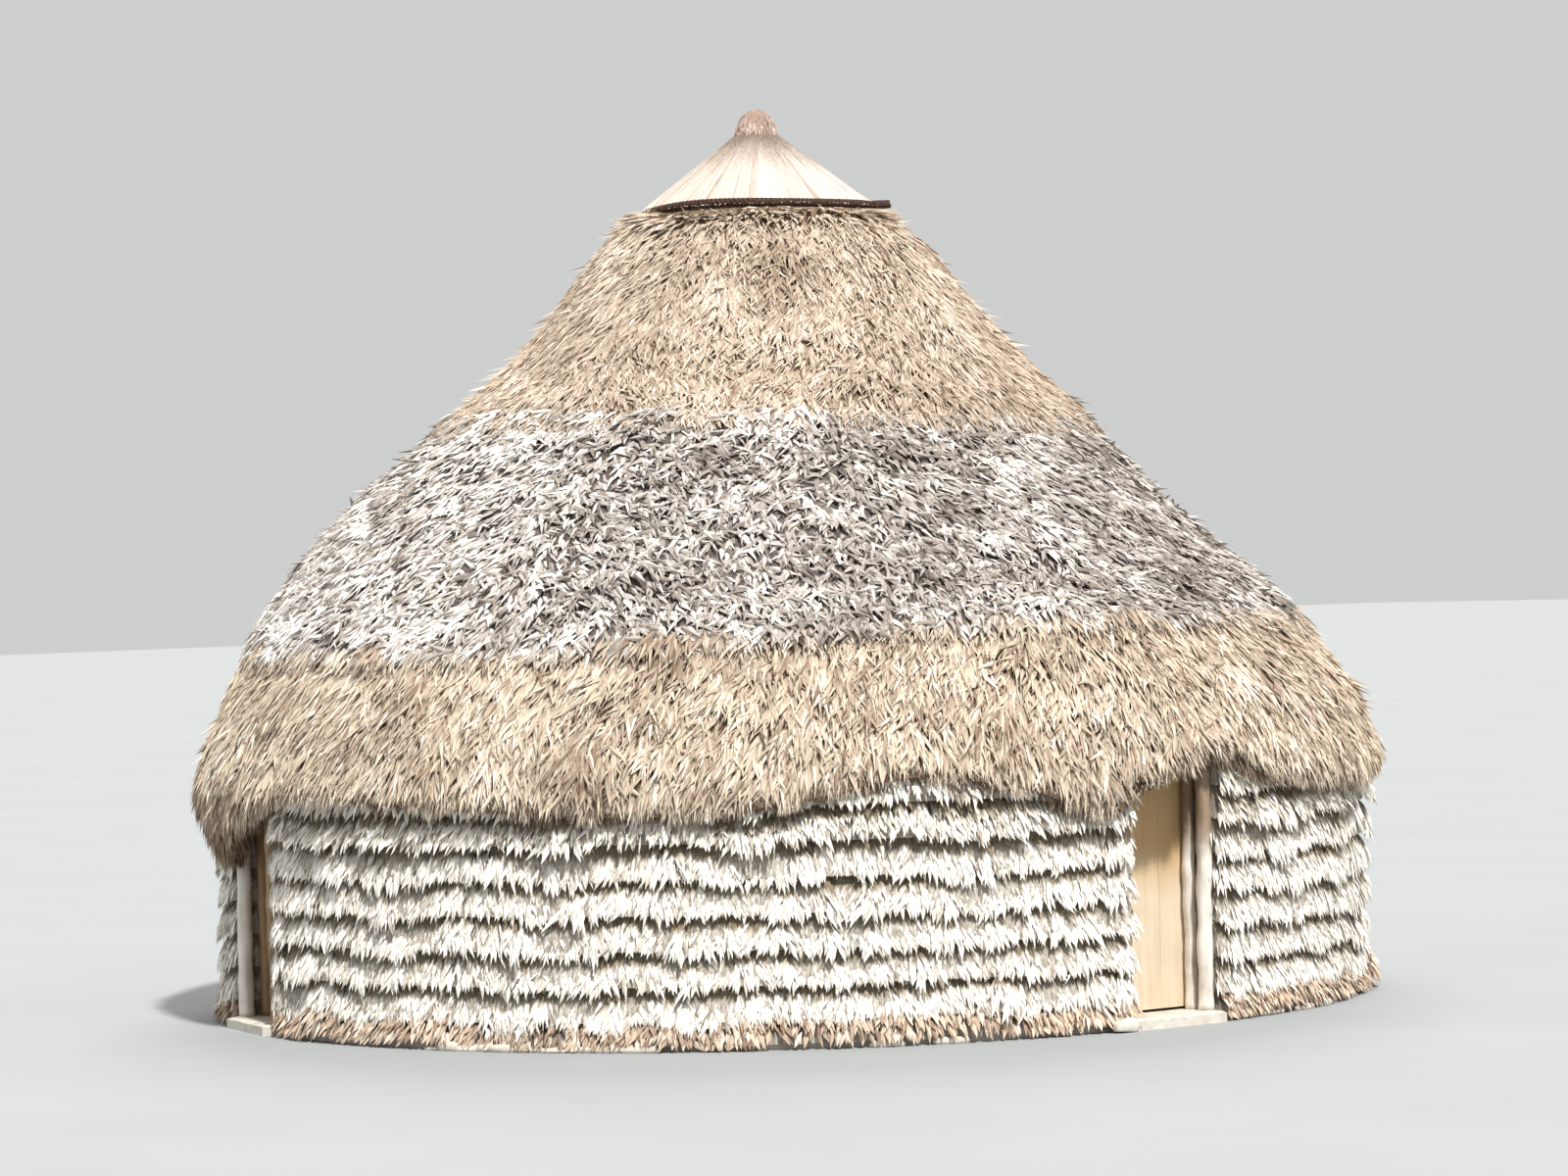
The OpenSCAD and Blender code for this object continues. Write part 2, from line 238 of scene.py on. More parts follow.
corners, faces, face_band = [], [], []
for number, band in enumerate(BANDS):
    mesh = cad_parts[band].data
    first = len(corners)
    corners += [v.co.copy() for v in mesh.vertices]
    faces += [[first + i for i in polygon.vertices] for polygon in mesh.polygons]
    face_band += [number] * len(mesh.polygons)
tree_of_bands = BVHTree.FromPolygons(corners, faces)

reach = np.zeros((LEVELS, TURNS))
met = np.full((LEVELS, TURNS), -1)
for turn in range(TURNS):
    out = Vector(outward(np.array(turn * 360 / TURNS)))
    for level, z in enumerate(heights):
        place, _, index, _ = tree_of_bands.ray_cast(out * RAY_FROM + Vector((0, 0, z)), -out, RAY_FROM)
        if place is not None:
            reach[level, turn] = place.dot(out)
            met[level, turn] = face_band[index]

low_edges = [np.array([heights[np.argmax(met[:, t] == n)] for t in range(TURNS)]) for n in range(3)]
for turn in range(TURNS):
    first = int(np.argmax(met[:, turn] >= 0))
    reach[:first, turn] = reach[first, turn]
print("eave between", low_edges[0].min().round(3), "and", low_edges[0].max().round(3), "m high")

# %% [markdown]
# ## Directions on the skin
# At any azimuth and height the table gives a point by blending its four nearest readings. The slope of
# the table gives the way down the roof and the way out of it. Those come from a smoothed copy, so that
# the little steps where one band laps over the next don't throw the blades about.

# %% Read the table anywhere
SMOOTHINGS = 24


def smoothed(table, times):
    for _ in range(times):
        table = (np.roll(table, 1, 1) + table * 2 + np.roll(table, -1, 1)) / 4
        padded = np.pad(table, ((1, 1), (0, 0)), mode="edge")
        table = (padded[:-2] + padded[1:-1] * 2 + padded[2:]) / 4
    return table


even_reach = smoothed(reach, SMOOTHINGS)
rise_step = heights[1] - heights[0]
slope_out = np.gradient(even_reach, rise_step, axis=0)
slope_round = (np.roll(even_reach, -1, 1) - np.roll(even_reach, 1, 1)) / (2 * math.radians(360 / TURNS))


def read(table, azimuth, z):
    x = (azimuth % 360) / 360 * TURNS
    y = np.clip((z - LEVEL_LOW) / rise_step, 0, LEVELS - 1.001)
    i, j = np.floor(x).astype(int), np.floor(y).astype(int)
    u, v = x - i, y - j
    a, b = i % TURNS, (i + 1) % TURNS
    return ((table[j, a] * (1 - u) + table[j, b] * u) * (1 - v)
            + (table[j + 1, a] * (1 - u) + table[j + 1, b] * u) * v)


def read_edge(edge, azimuth):
    x = (azimuth % 360) / 360 * TURNS
    i = np.floor(x).astype(int)
    return edge[i % TURNS] * (1 - (x - i)) + edge[(i + 1) % TURNS] * (x - i)


def unit(vectors):
    return vectors / np.linalg.norm(vectors, axis=-1, keepdims=True)


def on_roof(azimuth, z):
    out = outward(azimuth)
    radius = read(reach, azimuth, z)
    up = out * read(slope_out, azimuth, z)[:, None] + np.array([0, 0, 1.0])
    side = sideways(azimuth) * read(even_reach, azimuth, z)[:, None]
    side = side + out * read(slope_round, azimuth, z)[:, None]
    normal = unit(np.cross(side, up))
    point = out * radius[:, None]
    point[:, 2] = z
    down = -unit(up)
    return point, down, np.cross(normal, down), normal


print("skin towards the camera, 2 m up:", on_roof(np.degrees([EYE_AZIMUTH]), np.array([2.0]))[0].round(3))

# %% [markdown]
# ## Pieces from arrays
# Every piece below is worked out as two arrays, its corners and its triangles. Adding thousands of blades
# one by one would take minutes, and arrays take a moment. One helper turns them into an object, gives it
# a finish and a material slot, and lets it ride on a body of the frame, so that it moves with that.

# %% Piece from arrays
def flat_mesh(name, points, triangles, finish, body="house"):
    mesh = bpy.data.meshes.new(name)
    mesh.vertices.add(len(points))
    mesh.vertices.foreach_set("co", np.asarray(points, dtype=np.float32).ravel())
    mesh.loops.add(len(triangles) * 3)
    mesh.loops.foreach_set("vertex_index", np.asarray(triangles, dtype=np.int32).ravel())
    mesh.polygons.add(len(triangles))
    mesh.polygons.foreach_set("loop_start", np.arange(0, len(triangles) * 3, 3, dtype=np.int32))
    mesh.update(calc_edges=True)
    mesh.shade_flat()
    mesh.materials.append(finish)
    piece = bpy.data.objects.new(name, mesh)
    scene.collection.objects.link(piece)
    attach(piece, body)
    return piece


# %% [markdown]
# ## Blades
# A blade of thatch is a thin tapering leaf. As a mesh it is a needle: three corners round its root and
# one at its tip, four small faces that close it. A flake, broad in the middle and pointed at both ends,
# takes six. Each blade carries two numbers: `tone`, its place between the darkest and the palest of its
# kind, and `shade`, how much painted shade darkens it at the root and at the tip. The finish reads them,
# so one material serves thousands of blades.
#
# For export each blade also needs a patch of its own in the texture map. Unwrapping so many blades would
# take long, so the map is cut into cells, one a blade, and each cell into a small triangle for each face.

# %% Texture map of the blades
NEEDLE = [(0, 2, 1), (0, 1, 3), (1, 2, 3), (2, 0, 3)]
FLAKE = [(0, 1, 3), (1, 2, 3), (2, 0, 3), (1, 0, 4), (2, 1, 4), (0, 2, 4)]
PATCH_NEAR, PATCH_FAR = 0.12, 0.88


def patch_map(mesh, blades, pattern):
    cells = math.ceil(math.sqrt(blades))
    across = 2 if len(pattern) == 4 else 3
    spots = []
    for n in range(len(pattern)):
        x, y = (n % across) / across, (n // across) / 2
        w, h = 1 / across, 0.5
        near = (x + w * PATCH_NEAR, y + h * PATCH_NEAR)
        far = (x + w * PATCH_FAR, y + h * PATCH_FAR)
        spots += [near, (far[0], near[1]), (near[0], far[1])]
    cell = np.arange(blades)
    corner = np.stack([cell % cells, cell // cells], axis=-1)[:, None, :] + np.array(spots)[None]
    layer = mesh.uv_layers.new(name="OFBake")
    layer.data.foreach_set("uv", (corner / cells).astype(np.float32).ravel())


print("a needle has", len(NEEDLE), "faces, a flake", len(FLAKE))

# %% [markdown]
# Now the blades themselves. Each is given by its root, the way it points, the direction across it, its
# length and its width. A corner that would dip into the ground is lifted to just above it.

# %% One mesh of many blades
CLEAR_OF_GROUND = 0.004


def lay_blades(name, root, way, across, length, width, tone, shade_root, shade_tip, finish,
               slot, flake=False, thick=0.3, waist=0.38):
    n = len(root)
    out = np.cross(way, across)
    half = across * (width / 2)[:, None]
    ridge = out * (width * thick)[:, None]
    tip = root + way * length[:, None]
    if flake:
        broad = root + way * (length * waist)[:, None]
        points = np.stack([broad - half, broad + half, broad + ridge, tip, root], axis=1)
        middle = shade_root * (1 - waist) + shade_tip * waist
        shades = np.stack([middle, middle, middle, shade_tip, shade_root], axis=1)
        pattern = FLAKE
    else:
        points = np.stack([root - half, root + half, root + ridge, tip], axis=1)
        shades = np.stack([shade_root, shade_root, shade_root, shade_tip], axis=1)
        pattern = NEEDLE
    per = points.shape[1]
    points[:, :, 2] = np.maximum(points[:, :, 2], CLEAR_OF_GROUND)
    triangles = (np.array(pattern)[None] + np.arange(n)[:, None, None] * per).reshape(-1, 3)
    piece = flat_mesh(name, points.reshape(-1, 3), triangles, finish)
    for label, values in (("tone", np.repeat(tone, per)), ("shade", shades.ravel())):
        layer = piece.data.attributes.new(label, "FLOAT", "POINT")
        layer.data.foreach_set("value", values.astype(np.float32))
    patch_map(piece.data, n, pattern)
    print(name, n, "blades,", len(triangles), "faces")


print("blades can be laid, clear of the ground by", CLEAR_OF_GROUND, "m")

# %% [markdown]
# ## How thatch varies
# No bundle is like the next: it bulges, it is combed a little to one side, it has weathered more or
# less. Smooth waves in space give that slow change, the same at each run, and their size is chosen for
# each use. The blades themselves are scattered evenly over the cone, which means more of them where the
# roof is wide.

# %% Slow change and even scatter
WAVES, WIDEST = 24, 3.5


def drift(points, size, seed):
    chance = np.random.default_rng(seed)
    waves = chance.normal(size=(3, WAVES)) * (2.2 / size)
    return np.sin(points @ waves + chance.uniform(0, 2 * math.pi, WAVES)).sum(axis=1) / math.sqrt(WAVES / 2)


def pick(chance, count, low, high):
    return chance.uniform(low, high, count)


def scatter(count, low, high, chance):
    azimuths, zs, have = [], [], 0
    while have < count:
        azimuth = chance.uniform(0, 360, count)
        bottom, top = low(azimuth), high(azimuth)
        z = bottom + (top - bottom) * chance.uniform(0, 1, count)
        keep = chance.uniform(0, WIDEST, count) < read(reach, azimuth, z)
        azimuths.append(azimuth[keep])
        zs.append(z[keep])
        have += int(keep.sum())
    return np.concatenate(azimuths)[:count], np.concatenate(zs)[:count]


def turned(down, side, normal, swing, lift):
    flat = down * np.cos(swing)[:, None] + side * np.sin(swing)[:, None]
    way = unit(flat + normal * lift[:, None])
    return way, unit(np.cross(normal, way))


def rolled(way, across, roll):
    out = np.cross(way, across)
    return across * np.cos(roll)[:, None] + out * np.sin(roll)[:, None]


print("drift at the crown:", drift(np.array([[0, 0, 4.5]]), 0.6, 3).round(2))

# %% [markdown]
# ## Finish of a blade
# A dry blade is pale where the sun reaches it. At its root, where it is tucked under others, it lies in
# shade, and that shade is painted into its colour. The ramp takes its colour from `tone`, and a slow
# stain over the whole roof pushes patches of it lighter or darker. Then `shade` darkens the root towards
# the `root` colour, a painted shade.

# %% Blade finish
def blade_finish(name, stops, root, patch=(0.75, 1.2)):
    finish, tree, shader = start_finish(name, 0.8)
    tone = add_node(tree, "ShaderNodeAttribute", attribute_name="tone").outputs["Fac"]
    shade = add_node(tree, "ShaderNodeAttribute", attribute_name="shade").outputs["Fac"]
    colour = ramp(tree, tone, stops)
    stain = add_node(tree, "ShaderNodeMapRange", i0=mottle(tree, 1.6), i1=0.3, i2=0.7,
                     i3=patch[0], i4=patch[1]).outputs[0]
    grey = add_node(tree, "ShaderNodeCombineColor", Red=stain, Green=stain, Blue=stain).outputs[0]
    colour = mix(tree, 1.0, colour, grey, "MULTIPLY")
    streak = mottle(tree, 60, detail=2.0)
    edge = add_node(tree, "ShaderNodeMath", operation="MULTIPLY_ADD", i0=streak, i1=0.5, i2=-0.25).outputs[0]
    depth = add_node(tree, "ShaderNodeMath", operation="ADD", use_clamp=True, i0=shade, i1=edge).outputs[0]
    # Painted shade: `shade` mixes the colour towards the dark `root` colour.
    tree.links.new(mix(tree, depth, colour, linear(root)), shader.inputs["Base Color"])
    relief(tree, shader, streak, strength=0.3, distance=0.003)
    return finish


tan_blades = blade_finish(
    "tan_blades", [(0.0, "897360"), (0.35, "b6a592"), (0.7, "d6c6b0"), (1.0, "efe6d8")], root="5c4636",
    patch=(0.92, 1.06))
grey_flakes = blade_finish(
    "grey_flakes", [(0.0, "655a53"), (0.3, "91877f"), (0.65, "bbb3ab"), (1.0, "f2efe9")], root="51463f",
    patch=(0.94, 1.06))
golden_blades = blade_finish(
    "golden_blades", [(0.0, "8e7864"), (0.35, "b3a28f"), (0.7, "d0bfac"), (1.0, "e6dbcc")], root="6e5744",
    patch=(0.95, 1.05))
pale_tufts = blade_finish(
    "pale_tufts", [(0.0, "a59a8c"), (0.25, "d3cbbe"), (0.5, "e8e2d8"), (1.0, "f6f2eb")], root="80735f",
    patch=(0.96, 1.03))
brown_tufts = blade_finish(
    "brown_tufts", [(0.0, "957c6a"), (0.5, "cfbaa4"), (1.0, "f0e4d4")], root="665443")
combed_straw = blade_finish(
    "combed_straw", [(0.0, "937f6f"), (0.35, "b8a99b"), (0.6, "c8bcb0"), (1.0, "d6cec6")], root="7d6553",
    patch=(0.95, 1.04))
knot_straw = blade_finish(
    "knot_straw", [(0.0, "967e70"), (0.5, "c8b3a5"), (1.0, "e6d8cd")], root="6e574a")
print("seven finishes for blades")

# %% [markdown]
# ## The beds under the blades
# Between the blades one sees into the thatch, which lies in shade there, streaked down the slope. The
# frame's own solids show there and inside the house, so they take a dark streaky finish, a painted
# shade. On the wall it turns from pale to dark within each row, as the blades over it do: painted shade
# under the row above.

# %% Bed finish
ROW, FIRST_LIP = 0.185, 0.15


def bed_finish(name, dark, light, stretch=(1, 1, 0.25)):
    finish, tree, shader = start_finish(name, 0.95)
    straw = mottle(tree, 70, stretch, detail=6.0, roughness=0.7)
    tree.links.new(ramp(tree, straw, [(0.35, dark), (0.65, light)]), shader.inputs["Base Color"])
    relief(tree, shader, straw, strength=0.9, distance=0.02)
    return finish


def height_of(tree):
    place = add_node(tree, "ShaderNodeTexCoord").outputs["Object"]
    return add_node(tree, "ShaderNodeSeparateXYZ", Vector=place).outputs["Z"]


def row_bed():
    finish, tree, shader = start_finish("wall_bed", 0.95)
    rows = add_node(tree, "ShaderNodeMath", operation="MULTIPLY_ADD", i0=height_of(tree), i1=1 / ROW,
                    i2=-FIRST_LIP / ROW).outputs[0]
    share = add_node(tree, "ShaderNodeMath", operation="FRACT", i0=rows).outputs[0]
    straw = mottle(tree, 70, (1, 1, 0.25), detail=6.0, roughness=0.7)
    pale = ramp(tree, straw, [(0.35, "8d8172"), (0.65, "ddd6cb")])
    dark = ramp(tree, straw, [(0.35, "5b5146"), (0.65, "a0957f")])
    # Painted shade: dark towards the top of each row, under the row above.
    depth = add_node(tree, "ShaderNodeMapRange", i0=share, i1=0.5, i2=0.75).outputs[0]
    tree.links.new(mix(tree, depth, pale, dark), shader.inputs["Base Color"])
    relief(tree, shader, straw, strength=0.9, distance=0.02)
    return finish


# The dark beds are painted shade between the blades.
dress(bed_finish("tan_bed", "4a3a2f", "937c66"), "lower_thatch")
dress(bed_finish("grey_bed", "463d38", "857b75"), "grey_thatch")
dress(bed_finish("golden_bed", "655240", "a58e75"), "upper_thatch")
dress(bed_finish("cap_bed", "8a765c", "c4b090", stretch=(1, 1, 0.1)), "cap_cone")
dress(row_bed(), "front_wall_left", "front_wall_right", "right_wall_front",
      "right_wall_back", "back_wall_right", "back_wall_left", "left_wall")
print("beds dressed")

# %% [markdown]
# ## The lip of the roof
# The lip isn't even. Over the main door the thatch swells out, and its fringe hangs low on one side of
# the doorway and is cut short on the other. Beside the side door, where the lip droops and turns under,
# the blades are darkened, a painted shade. Each of these is a smooth hump at one azimuth, added to what
# the blades do anyway, so nothing has to be placed by hand.

# %% Swell, painted shade and fringe
SIDE_DOOR, MAIN_DOOR = -104.6, 0.0
LIP_SWELL, PAINTED_DROOP_SHADE = 0.10, 0.72
FRINGES = ((0.035, 9, 5), (0.035, 0.3, 2), (-0.075, -5.2, 2.2))


def past(door, azimuth):
    return (azimuth - door + 180) % 360 - 180


def hump(place, middle, spread):
    return np.exp(-((place - middle) / spread) ** 2)


def near_lip(azimuth, z, depth):
    return np.clip(1 - (z - read_edge(low_edges[0], azimuth)) / depth, 0, 1)


def flare(azimuth, z):
    return LIP_SWELL * near_lip(azimuth, z, 0.34) ** 1.5 * hump(past(MAIN_DOOR, azimuth), 1, 8)


# Painted shade: tone taken off where the lip droops beside the side door.
def painted_droop_shade(azimuth, z):
    return PAINTED_DROOP_SHADE * near_lip(azimuth, z, 0.5) * hump(past(SIDE_DOOR, azimuth), -10, 14)


def fringe(azimuth):
    door = past(MAIN_DOOR, azimuth)
    return sum(drop * hump(door, middle, spread) for drop, middle, spread in FRINGES)


print("fringe beside the main door:", fringe(np.array([-5.0, 0.0, 9.0])).round(3), "m")

# %% [markdown]
# ## The lower band
# This is the brown thatch that people see first. Its blades follow the slope, a little combed to one
# side, and stop above the lip, where the eave's own blades take over. The function that lays them
# serves the two bands above as well. Only the sizes, the swing of the blades and their tones differ.

# %% A function for the bands
BULGE, COMB, TUCKED, TIP_SHADE, MIDDLE_TONE = 0.012, 0.5, 0.15, -0.6, 0.49
STRAY_SHARE, STRAY_LIFT = 0.985, 0.5
BLEACHED_SIDE = -95


def edge_of(number, extra):
    return lambda azimuth: read_edge(low_edges[number], azimuth) + extra


def roof_band(name, count, low, high, sizes, swing, lift, finish, slot, seed, root_shade=(0.5, 0.9),
              bleach=0.0, spread=0.22):
    chance = np.random.default_rng(seed)
    azimuth, z = scatter(count, low, high, chance)
    point, down, side, normal = on_roof(azimuth, z)
    bundle = drift(point, 0.28, seed + 1)
    lean_way = drift(point, 0.9, seed + 2) * COMB * swing + chance.normal(0, swing, count)
    raise_by = pick(chance, count, *lift) + STRAY_LIFT * (chance.uniform(0, 1, count) > STRAY_SHARE)
    swell = flare(azimuth, z)
    raise_by += swell * 3
    way, across = turned(down, side, normal, lean_way, raise_by)
    across = rolled(way, across, chance.normal(0, 0.5, count))
    length = pick(chance, count, *sizes[0])
    width = pick(chance, count, *sizes[1])
    root = point + normal * (BULGE * np.abs(bundle) - 0.002 + swell)[:, None]
    root -= way * (length * TUCKED)[:, None]
    weather = bleach * np.clip(np.cos(np.radians(azimuth - BLEACHED_SIDE)), 0, 1) ** 2
    # The tone loses the painted shade of the drooping lip.
    tone = chance.normal(MIDDLE_TONE, spread, count) + 0.07 * bundle + weather - painted_droop_shade(azimuth, z)
    tone = np.clip(tone, 0, 1)
    lay_blades(name, root, way, across, length, width, tone, pick(chance, count, *root_shade),
               np.full(count, TIP_SHADE), finish, slot, flake=True)


print("the thatch bulges by", BULGE, "m where a bundle is full")

# %% [markdown]
# The lower edge of this band follows the fringe. Its upper edge lies hidden behind the foot of the grey
# band, so that no gap opens between the two.

# %% Lay the lower band
ABOVE_LIP = 0.11


def brown_foot(azimuth):
    return read_edge(low_edges[0], azimuth) + ABOVE_LIP - fringe(azimuth)


roof_band("lower_blades", 30000, brown_foot, edge_of(1, 0.05), sizes=((0.12, 0.22), (0.018, 0.034)),
          swing=0.34, lift=(0.06, 0.26), finish=tan_blades, slot="brown_thatch", seed=11, bleach=0.05)

# %% [markdown]
# ## The eave
# At the edge the blades hang free and ragged, and under them hangs a mass of dark ones, their darkness a
# painted shade under the eave. One ring of blades would show the smooth underside of the solid, so two
# are laid. The outer one follows the skin, the inner one hangs from the underside, in low tones and dark
# shades.

# %% Lay the eave
def eave_ring(name, count, inset, start, hang, widths, tones, shades, seed, deeper=0.0):
    chance = np.random.default_rng(seed)
    azimuth = chance.uniform(0, 360, count)
    edge = read_edge(low_edges[0], azimuth)
    z = edge + pick(chance, count, *start)
    point, down, side, normal = on_roof(azimuth, np.maximum(z, edge + 0.01))
    depth = pick(chance, count, *inset)
    root = point + normal * (flare(azimuth, z) * chance.uniform(0.3, 1, count) - depth)[:, None]
    root[:, 2] = z
    ragged = 0.5 + 0.5 * drift(point, 0.12, seed + 1)
    ragged = np.clip(ragged * chance.uniform(0.5, 1.2, count), 0, 1)
    length = (z - edge) + hang[0] + (hang[1] - hang[0]) * ragged
    length += deeper * hump(past(MAIN_DOOR, azimuth), 10, 9) * chance.uniform(0.2, 1, count) + fringe(azimuth)
    length = np.maximum(length, 0.02)
    way, across = turned(down, side, normal, chance.normal(0, 0.22, count), pick(chance, count, -0.05, 0.12))
    across = rolled(way, across, chance.normal(0, 0.6, count))
    # The tone loses the painted shade of the drooping lip.
    tone = np.clip(pick(chance, count, *tones) - painted_droop_shade(azimuth, z), 0, 1)
    lay_blades(name, root, way, across, length, pick(chance, count, *widths), tone,
               np.full(count, shades[0]), np.full(count, shades[1]), tan_blades, "brown_thatch")


eave_ring("eave_blades", 14000, inset=(-0.006, 0.03), start=(0.03, 0.16), hang=(-0.02, 0.075),
          widths=(0.012, 0.024), tones=(0.2, 1.0), shades=(0.6, -0.4), seed=21)
# Low tones and dark shades of the inner ring: painted shade under the eave.
eave_ring("eave_underside", 8500, inset=(0.03, 0.10), start=(0.0, 0.03), hang=(0.02, 0.08),
          widths=(0.016, 0.028), tones=(0.0, 0.5), shades=(0.9, 0.35), seed=24, deeper=0.06)

# %% [markdown]
# ## The grey band
# Weather has bleached this band to flakes of every tone from near white to brown, palest on the left in
# the picture. They are shorter and broader than the blades below and point far to either side of the
# slope, which other sizes and a wide swing give.

# %% Lay the grey band
roof_band("grey_band_flakes", 30500, edge_of(1, -0.015), edge_of(2, 0.05),
          sizes=((0.09, 0.17), (0.022, 0.040)), swing=0.62, lift=(0.06, 0.34), finish=grey_flakes,
          slot="grey_thatch", seed=31, root_shade=(0.0, 0.5), bleach=0.22)

# %% [markdown]
# ## The upper band
# This band is golden brown again, finer and neater. The same function lays it, with narrower blades and
# less swing, from the top of the grey band, which it laps over, up to the foot of the cap.

# %% Lay the upper band
CROWN_Z = 4.525


def crown(azimuth):
    return np.full_like(azimuth, CROWN_Z)


roof_band("upper_blades", 28000, edge_of(2, -0.03), crown, sizes=((0.11, 0.19), (0.015, 0.027)),
          swing=0.36, lift=(0.06, 0.22), finish=golden_blades, slot="golden_thatch", seed=41,
          root_shade=(0.35, 0.75), spread=0.19)

# %% [markdown]
# ## The wall rows
# Each row is leaf sewn to a lath at its top and hanging over the row below. Its blades are short. They
# are scattered over the whole row, from behind the lip of the row above to a ragged line under its own
# lip. A plain band of blades would hide the rows, and rows cut straight would look made by machine, so
# each lip wanders a little, as hand-tied rows do. The doorways stay free.

# %% Where the rows lie
WALL_R, SKIRT, WANDER, SETTLE = 3.3, 0.03, 0.021, 0.85
DOORWAYS = ((SIDE_DOOR, -6.05, 6.2), (MAIN_DOOR, -4.7, 6.05))


def in_doorway(azimuth):
    return np.any([(past(door, azimuth) > first) & (past(door, azimuth) < last)
                   for door, first, last in DOORWAYS], axis=0)


def wander(out, z):
    return z + WANDER * (drift(out * WALL_R + [0, 0, z * 0.8], 0.36, 91) - SETTLE)


print("lips of the rows at", [SKIRT] + [round(FIRST_LIP + row * ROW, 3) for row in range(7)], "m")

# %% [markdown]
# The upper part of a row lies in the dark under the row above, and that shade is painted into the
# colour of every blade, which turns from dark to pale at the same line. Beside the side door the blades
# lie flat, to keep its opening clear. The two top rows and the brown foot row stand out more than the
# others. The two top rows also have a lower tone and a longer dark part, a painted shade under the eave.

# %% Lay the wall rows
ROW_SHARES, ROW_RADII = (0, 0.45, 1.1), (3.3, 3.288, 3.235)
SINK, FRAY, DARK_RATE = 0.022, 0.034, 4.5
FLAT_WITHIN, FLAT_FADE = 6.4, 1.6


def one_row(chance, row, count, sizes, tones, dark_from, proud, rise):
    azimuth = chance.uniform(0, 360, count)
    azimuth = azimuth[~in_doorway(azimuth)]
    n = len(azimuth)
    out = outward(azimuth)
    lip = SKIRT if row == 0 else FIRST_LIP + (row - 1) * ROW
    low, high = wander(out, lip), wander(out, FIRST_LIP + row * ROW + rise)
    bunch = out * WALL_R + [0, 0, row * 0.5]
    tuft = drift(bunch, 0.08, 92)

    share = 1.12 - 0.78 * chance.uniform(0, 1, n) ** 1.2
    z = low + (high - low) * share
    bottom = low - SINK - SINK * tuft + FRAY * chance.uniform(-1, 1, n)
    bottom = np.minimum(bottom, lip - 0.002 - 0.028 * chance.uniform(0, 1, n) ** 2)
    tip_z = np.maximum(np.maximum(z - pick(chance, n, *sizes), bottom), 0.006)
    tip_share = (tip_z - low) / (high - low)

    beside = past(SIDE_DOOR, azimuth)
    loose = np.clip((np.abs(beside) - FLAT_WITHIN) / FLAT_FADE, 0, 1)
    swell = 0.013 * np.maximum(tuft, -0.1) * loose
    root = out * (np.interp(share, ROW_SHARES, ROW_RADII) - 0.002 + swell + proud * 0.3 * loose)[:, None]
    root[:, 2] = z
    stand = pick(chance, n, 0.004, 0.026) * (0.3 + 0.7 * loose) + proud * loose * chance.uniform(0.4, 1, n)
    tip = out * (np.interp(tip_share, ROW_SHARES, ROW_RADII) + stand + swell)[:, None]
    tip[:, 2] = tip_z
    lean_way = chance.normal(0, 0.26, n) + 0.14 * drift(bunch, 0.12, 120)
    lean_way = np.where((loose < 1) & (beside > 0), np.abs(lean_way), lean_way)
    tip += sideways(azimuth) * ((z - tip_z) * lean_way)[:, None]

    way = tip - root
    length = np.linalg.norm(way, axis=1)
    way = unit(way)
    across = rolled(way, unit(np.cross(out, way)), chance.normal(0, 0.4, n))
    tone = np.clip(chance.normal(tones[0], tones[1], n) + 0.06 * tuft, 0, 1)
    # Painted shade: blades turn dark above `line`, under the row above.
    line = dark_from + 0.08 * chance.normal(0, 1, n)
    shades = [0.5 + DARK_RATE * (place - line) for place in (share, tip_share)]
    return (root, way, across, length, pick(chance, n, 0.020, 0.036), tone, *shades)


def wall_rows(name, rows, count, sizes, finish, slot, seed, tones, dark_from, proud=0.0, rise=0.0):
    chance = np.random.default_rng(seed)
    parts = [one_row(chance, row, count, sizes, tones, dark_from, proud, rise) for row in rows]
    lay_blades(name, *[np.concatenate(column) for column in zip(*parts)], finish, slot, flake=True,
               thick=0.22, waist=0.5)


wall_rows("wall_tufts_low", (1, 2, 3), 6400, (0.09, 0.15), pale_tufts, "pale_thatch", seed=51,
          tones=(0.56, 0.24), dark_from=0.70)
wall_rows("wall_tufts_high", (4, 5), 6400, (0.09, 0.15), pale_tufts, "pale_thatch", seed=52,
          tones=(0.54, 0.25), dark_from=0.69)
# Lower tone and earlier dark line here: painted shade under the eave.
wall_rows("wall_tufts_top", (6, 7), 6400, (0.07, 0.13), pale_tufts, "pale_thatch", seed=54,
          tones=(0.48, 0.31), dark_from=0.67, proud=0.05)
wall_rows("foot_tufts", (0,), 5000, (0.06, 0.12), brown_tufts, "brown_thatch", seed=53,
          tones=(0.38, 0.28), dark_from=0.86, proud=0.045, rise=0.05)

# %% [markdown]
# ## The cap
# The cap is straw combed down from the tip, so its lines run straight from the knot to the binding. Each
# straw lies on the cone with its broad end down and its point towards the tip, which keeps them from
# crowding where the cone is narrow. About half of them start at the rim and the rest further up. Where
# they go in under the knot they grow darker, a painted shade.

# %% Comb the cap
cap_low, cap_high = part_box("cap_cone")
CAP_MIDDLE = np.array([(cap_low.x + cap_high.x) / 2, (cap_low.y + cap_high.y) / 2, 0])
CAP_R = (cap_high.x - cap_low.x) / 2
CAP_RIM, CAP_TOP = cap_low.z + 0.025, cap_high.z
knot_low, knot_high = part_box("cap_knot")
NECK_R, UPPER_SHARE = 0.12, 0.45


